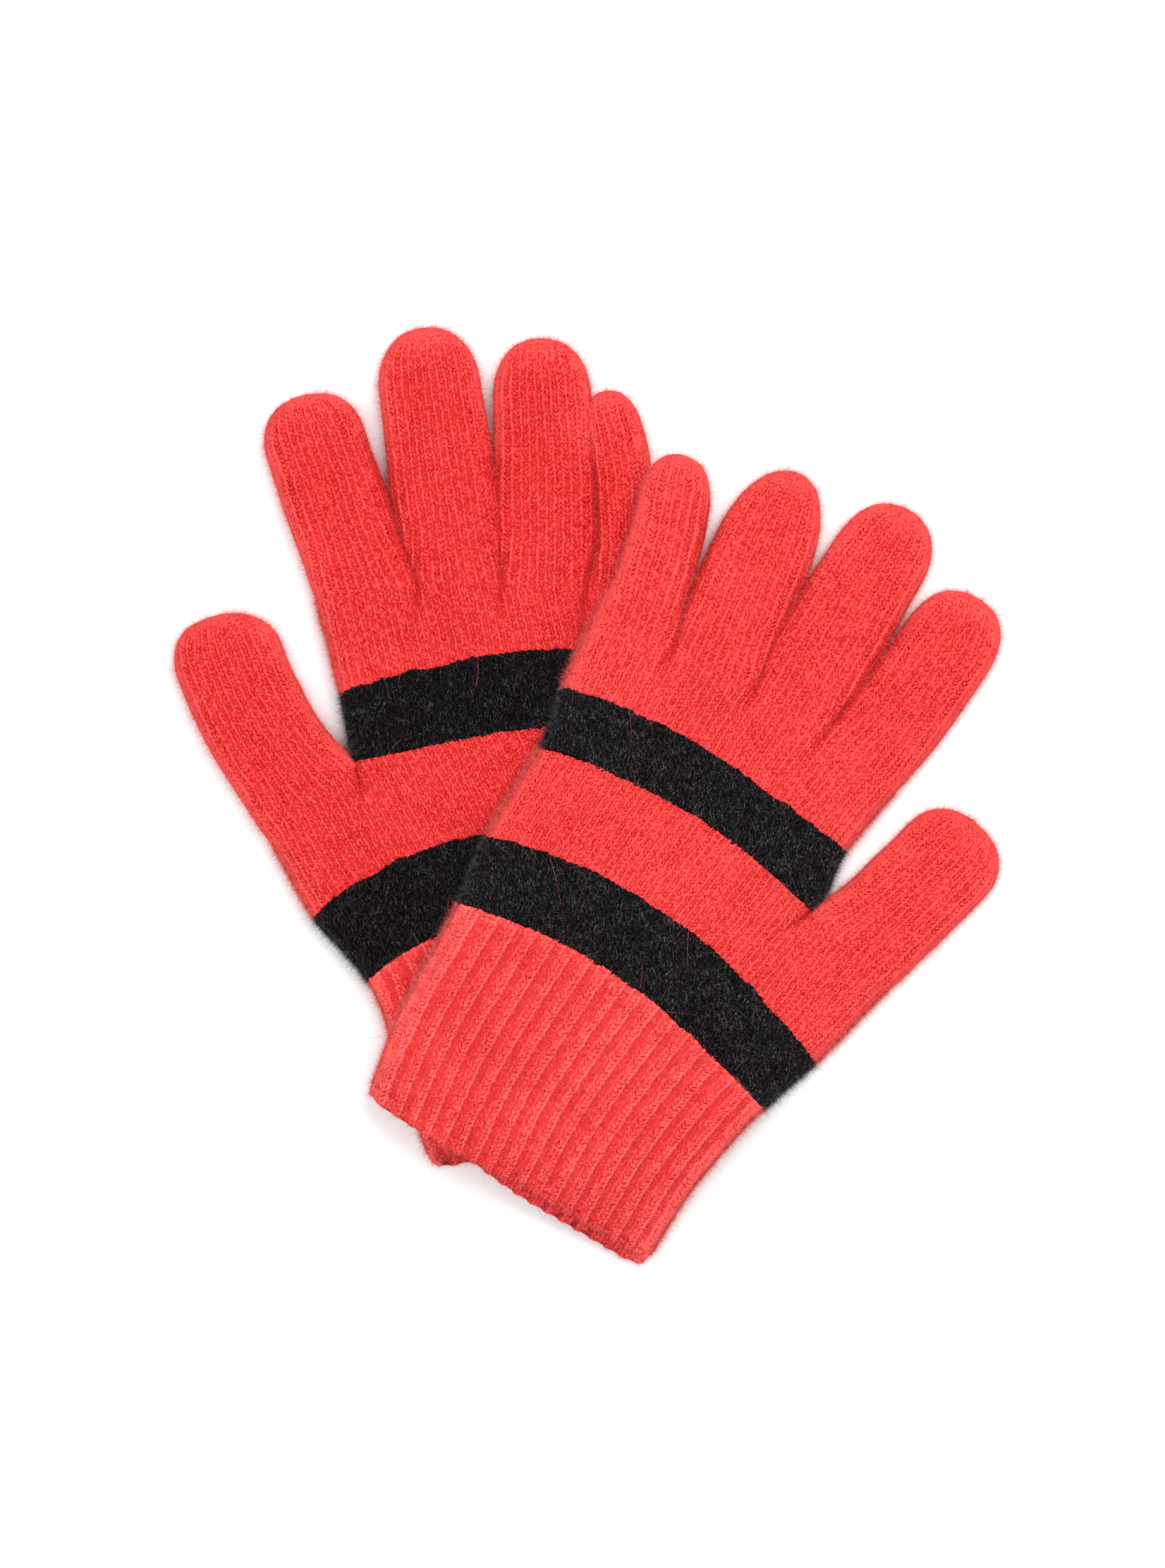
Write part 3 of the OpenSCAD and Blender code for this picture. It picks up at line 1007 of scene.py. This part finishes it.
def times(tree, a, b):
    """The product of two numbers."""
    return add_math(tree, "MULTIPLY", a, b)


def add_range(tree, value, start, stop, low=0.0, high=1.0):
    """A smooth step of a value from low to high."""
    node = tree.nodes.new("ShaderNodeMapRange")
    node.interpolation_type = "SMOOTHSTEP"
    values = {"Value": value, "From Min": start, "From Max": stop, "To Min": low,
              "To Max": high}
    return fill(tree, node, values).outputs["Result"]


def add_attribute(tree, name):
    """One of the mesh's named layers."""
    node = tree.nodes.new("ShaderNodeAttribute")
    node.attribute_name = name
    return node.outputs["Fac"]


def add_shake(tree, vector, coords, scale, amount):
    """A vector shifted by noise of up to an amount."""
    noise = add_noise(tree, coords, scale, output="Color")
    node = tree.nodes.new("ShaderNodeVectorMath")
    node.operation = "MULTIPLY_ADD"
    return fill(tree, node, {0: noise, 1: amount, 2: vector}).outputs["Vector"]


def add_stitches(tree, coords):
    """The slots over the legs of each stitch, and the lines between columns, as 0 to 1."""
    place = tree.nodes.new("ShaderNodeUVMap")
    place.uv_map = "Knit"
    shaken = add_shake(tree, place.outputs["UV"], coords, 850, (0.34, 0.5, 0))
    split = add_node(tree, "SeparateXYZ", {0: shaken})
    u, v = split.outputs["X"], split.outputs["Y"]
    x = add_math(tree, "SUBTRACT", add_math(tree, "FRACT", u), 0.5)
    x = times(tree, add_math(tree, "ABSOLUTE", x), 2)
    leg = add_math(tree, "SUBTRACT", v, times(tree, x, SLANT))
    row = add_math(tree, "ROUND", leg)
    away = add_math(tree, "ABSOLUTE", add_math(tree, "SUBTRACT", leg, row))
    half_column = add_math(tree, "FLOOR", times(tree, u, 2))
    join = add_node(tree, "CombineXYZ", {"X": half_column, "Y": row})
    own = tree.nodes.new("ShaderNodeTexWhiteNoise")
    own.noise_dimensions = "2D"
    own = fill(tree, own, {"Vector": join.outputs["Vector"]}).outputs["Value"]
    slot = times(tree, add_range(tree, away, 0.02, 0.4, 1, 0), add_range(tree, x, 0.0, 0.32))
    slot = times(tree, slot, add_range(tree, x, 0.55, 0.92, 1, 0))
    slot = times(tree, slot, add_range(tree, own, 0, 1, 0.3, 1.1))
    slot = times(tree, slot, add_attribute(tree, "bold"))
    # The wool is brushed up more in some places than in others
    brushed = add_noise(tree, coords, 130, 3, 0.6)
    slot = times(tree, slot, add_range(tree, brushed, 0.35, 0.65, 0.55, 1.15))
    clear = add_range(tree, add_noise(tree, coords, 420), 0.35, 0.6, 0.2, 1)
    return slot, times(tree, add_range(tree, x, 0.66, 1.0), clear)


def wool(name, deep, body, crest, fleck, sheen_tint=(1, 0.22, 0.20), sheen=0.1, streaks=0.4):
    """Wool knit: stitches coloured by their depth, with painted shade in their hollows and
    painted rim light on outlines, mottled, with fine loose fibres.
    """
    mat, tree, shader = node_tree(name)
    coords = tree.nodes.new("ShaderNodeTexCoord").outputs["Object"]
    slot, line = add_stitches(tree, coords)
    # Tone from the fabric's depth, which paints shade in the rib's grooves, the lines between
    # columns and fine grain. Painted rim light makes outlines paler where fuzz is seen
    # edge-on, painted shade darkens the creases between fingers and the lower glove, and the
    # slots get the darkest painted shade
    grain = add_noise(tree, coords, 1300, 3, 0.7)
    tone = times(tree, add_attribute(tree, "depth"), 0.4)
    for part, weight in ((line, 0.14), (grain, 1.0), (add_attribute(tree, "pile"), 0.3)):
        tone = add_math(tree, "ADD", tone, times(tree, part, weight))
    height = add_math(tree, "SUBTRACT", tone, times(tree, slot, 0.64))
    # Deep is the colour of painted shade, and crest the colour of painted rim light and of the
    # palest grain
    colour = add_ramp(tree, height, [(0.34, deep), (0.84, body), (1.0, crest)])
    # Mottled in small patches and in wide ones
    mottle = add_noise(tree, coords, 260, 4, 0.65)
    shade = add_ramp(tree, mottle, [(0.3, (0.90, 0.84, 0.84)), (0.7, (1.05, 1.10, 1.10))])
    colour = add_mix(tree, "MULTIPLY", 1.0, colour, shade)
    wide = add_noise(tree, coords, 45, 3)
    broad = add_ramp(tree, wide, [(0.35, (0.95, 0.85, 0.85)), (0.65, (1.03, 1.10, 1.10))])
    colour = add_mix(tree, "MULTIPLY", 1.0, colour, broad)
    # Fine lighter fibres lying every way: thin ridges of stretched, bent noise
    bent = add_shake(tree, coords, coords, 300, (0.0022, 0.0022, 0.0022))
    clumps = add_range(tree, add_noise(tree, coords, 260, 4, 0.6), 0.36, 0.66, 0.3, 1)
    clumps = times(tree, clumps, add_attribute(tree, "fleck"))
    for angle in (0.35, 1.15, 1.95, 2.75):
        place = add_node(tree, "Mapping", {
            "Vector": bent, "Rotation": (0, 0, angle), "Scale": (1, 0.13, 1),
        })
        streak = add_noise(tree, place.outputs["Vector"], 3600, 1)
        mask = times(tree, add_range(tree, streak, 0.64, 0.74, 0, streaks), clumps)
        colour = add_mix(tree, "MIX", mask, colour, fleck)
    bumps = add_node(tree, "Bump", {"Height": height, "Strength": 0.8, "Distance": 0.0004})
    fill(tree, shader, {
        "Base Color": colour, "Normal": bumps.outputs["Normal"], "Roughness": 0.95,
        "Specular IOR Level": 0.02, "Sheen Weight": sheen, "Sheen Roughness": 0.5,
        "Sheen Tint": sheen_tint,
    })
    return mat


def fibre_material(name, low, high):
    """Loose fibres: a colour that changes from strand to strand."""
    mat, tree, shader = node_tree(name)
    coords = tree.nodes.new("ShaderNodeTexCoord").outputs["Object"]
    colour = add_ramp(tree, add_noise(tree, coords, 700, 1), [(0.35, low), (0.65, high)])
    fill(tree, shader, {"Base Color": colour, "Roughness": 0.7, "Specular IOR Level": 0.05})
    return mat


RED = wool("red_wool", deep=(0.33, 0.004, 0.005), body=(0.58, 0.017, 0.018),
           crest=(0.83, 0.083, 0.078), fleck=(0.85, 0.13, 0.12))
RED_RIB = wool("red_rib_wool", deep=(0.42, 0.007, 0.009), body=(0.69, 0.036, 0.036),
               crest=(0.89, 0.130, 0.122), fleck=(0.92, 0.19, 0.175))
CHARCOAL = wool(
    "charcoal_wool", deep=(0.0012, 0.0010, 0.0012), body=(0.0029, 0.0022, 0.0025),
    crest=(0.008, 0.0065, 0.007), fleck=(0.20, 0.18, 0.185), sheen_tint=(0.6, 0.55, 0.55),
    sheen=0.0, streaks=0.55,
)
RED_FIBRE = fibre_material("red_fibre", (0.72, 0.05, 0.047), (0.93, 0.24, 0.22))
CHARCOAL_FIBRE = fibre_material("charcoal_fibre", (0.003, 0.003, 0.004), (0.12, 0.12, 0.13))


# ---- building the gloves ----

def cad_body(node):
    """The CAD body that a node belongs to."""
    bodies = frame["record"]["behaviour"]["bodies"]
    return next(b for b, nodes in bodies.items() if node in nodes)


def bend_span(g, name):
    """Two points straight out from a finger's root, 1 and 15 mm out, at the glove's top."""
    a, b = finger_root(g, name)
    out = finger_line(g, name)[1]
    c = (a + b) / 2
    height = GLOVE_T + base_at(g, c)
    before, after = 1.0, 15.0
    ends = [c - MIDDLE + out * d for d in (before, after)]
    return [(e[0] * MM, e[1] * MM, height * MM) for e in ends]


def settle(obj, node, span=None):
    """A piece moves with its CAD node's body, or, given a span, keeps its place with its
    transform applied.
    """
    body = cad_body(node)
    if span is None:
        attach(obj, body)
    else:
        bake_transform(obj)


def cuff_middles(g):
    """Middle of the cuff's mouth, and of the line halfway up where it can fold."""
    return [curve(g["lines"][k], 0.5) for k in (0, 1)]


def hem_share(g):
    """Where the hem ends, as a share of the lower half of the cuff."""
    mouth, line = cuff_middles(g)
    return HEM / np.linalg.norm(line - mouth)


def fold_span(g):
    """Two points across the line halfway up the cuff, 1 mm towards the hand and 9 mm towards
    the mouth, at the upper glove's top.
    """
    mouth, line = cuff_middles(g)
    down = unit(mouth - line)
    height = (LIFT + GLOVE_T) * MM
    before, after = -1.0, 9.0
    return [(*((line - MIDDLE + down * d) * MM), height) for d in (before, after)]


def finish_piece(obj, node, span=None):
    """A knitted piece gets its material and its fuzz, and moves with its body unless it has a
    span.
    """
    material, fibre = {
        "charcoal_knit": (CHARCOAL, CHARCOAL_FIBRE),
        "red_knit": (RED, RED_FIBRE),
        "red_rib": (RED_RIB, RED_FIBRE),
    }[slots[node]]
    obj.data.materials.append(material)
    settle(obj, node, span)
    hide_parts(node)
    skin = SKINS[obj.name][0]
    tall = np.linalg.norm(skin[1:, 1:] - skin[:-1, 1:], axis=-1)
    wide = np.linalg.norm(skin[1:, 1:] - skin[1:, :-1], axis=-1)
    front = (tall * wide).sum() / 2
    count = int(front * FIBRES_MM2 * (HEM_FUZZ if node.endswith("hem") else 1))
    fuzz = fibres(node + "_fuzz", obj.name, count, max(int(front / LONG_MM2), 1))
    fuzz.data.materials.append(fibre)
    settle(fuzz, node, span)


def build_glove(g, name):
    """All the pieces of one glove, in a fixed order, since they share the random draws."""
    def moves(node):
        return cad_body(node) != name + "_hand"

    for finger in FINGERS:
        node = f"{name}_{finger}"
        obj = add_finger(g, name, finger)
        finish_piece(obj, node, bend_span(g, finger) if moves(node) else None)
    for part, line in BANDS.items():
        node = f"{name}_{part}"
        finish_piece(add_band(g, node + "_knit", [[line, 0, 1]], ribbed=False), node)
    share = hem_share(g)
    hem, lower, upper = [0, 0, share], [0, share, 1], [1, 0, 1]
    if name == "left":
        cuff = {"rib_cuff": [lower, upper], "hem": [hem]}
    else:
        cuff = {"cuff_top": [upper], "cuff_turn": [lower], "hem": [hem]}
    for part, spans in cuff.items():
        node = f"{name}_{part}"
        obj = add_band(g, node + "_knit", spans, ribbed=True)
        finish_piece(obj, node, fold_span(g) if moves(node) else None)


build_glove(LEFT, "left")
build_glove(RIGHT, "right")


# ---- floor, light and camera ----

def add_floor(size, under, shade, roughness):
    """A plain surface just under the gloves, wide enough to have no edge in any view."""
    bpy.ops.mesh.primitive_plane_add(size=size, location=(0, 0, -under))
    floor = bpy.context.object
    floor.name = "floor"
    paint, tree, shader = node_tree("floor_paint")
    fill(tree, shader, {"Base Color": (shade, shade, shade), "Roughness": roughness})
    floor.data.materials.append(paint)


def add_light(name, place, size, power):
    """A round soft light that points at the origin."""
    data = bpy.data.lights.new(name, "AREA")
    data.shape = "DISK"
    data.size = size
    data.energy = power
    light = bpy.data.objects.new(name, data)
    bpy.context.collection.objects.link(light)
    z = unit(np.array(place))
    x = unit(np.cross((0, 1, 0.01), z))
    y = np.cross(z, x)
    light.matrix_world = Matrix([*zip(x, y, z, place), (0, 0, 0, 1)])


def add_world(strength):
    """Even white light from all round."""
    world = bpy.data.worlds.new("studio")
    world.use_nodes = True
    tree = world.node_tree
    fill(tree, tree.nodes["Background"], {"Color": (1, 1, 1), "Strength": strength})
    bpy.context.scene.world = world


def add_camera(place, lens):
    """A camera that looks straight down."""
    data = bpy.data.cameras.new("camera")
    data.sensor_fit = "HORIZONTAL"
    data.sensor_width = 36
    data.lens = lens
    camera = bpy.data.objects.new("camera", data)
    bpy.context.collection.objects.link(camera)
    camera.location = place
    bpy.context.scene.camera = camera


add_floor(size=12.0, under=0.0002, shade=0.93, roughness=0.9)
add_light("key", place=(0.6, 0.75, 1.1), size=1.3, power=17)
add_light("fill", place=(-0.8, -0.3, 1.1), size=1.4, power=9)
add_world(strength=0.73)
add_camera(place=(-0.0014, 0.0040, 1.2), lens=124.2)
bpy.context.scene.view_settings.view_transform = "Standard"
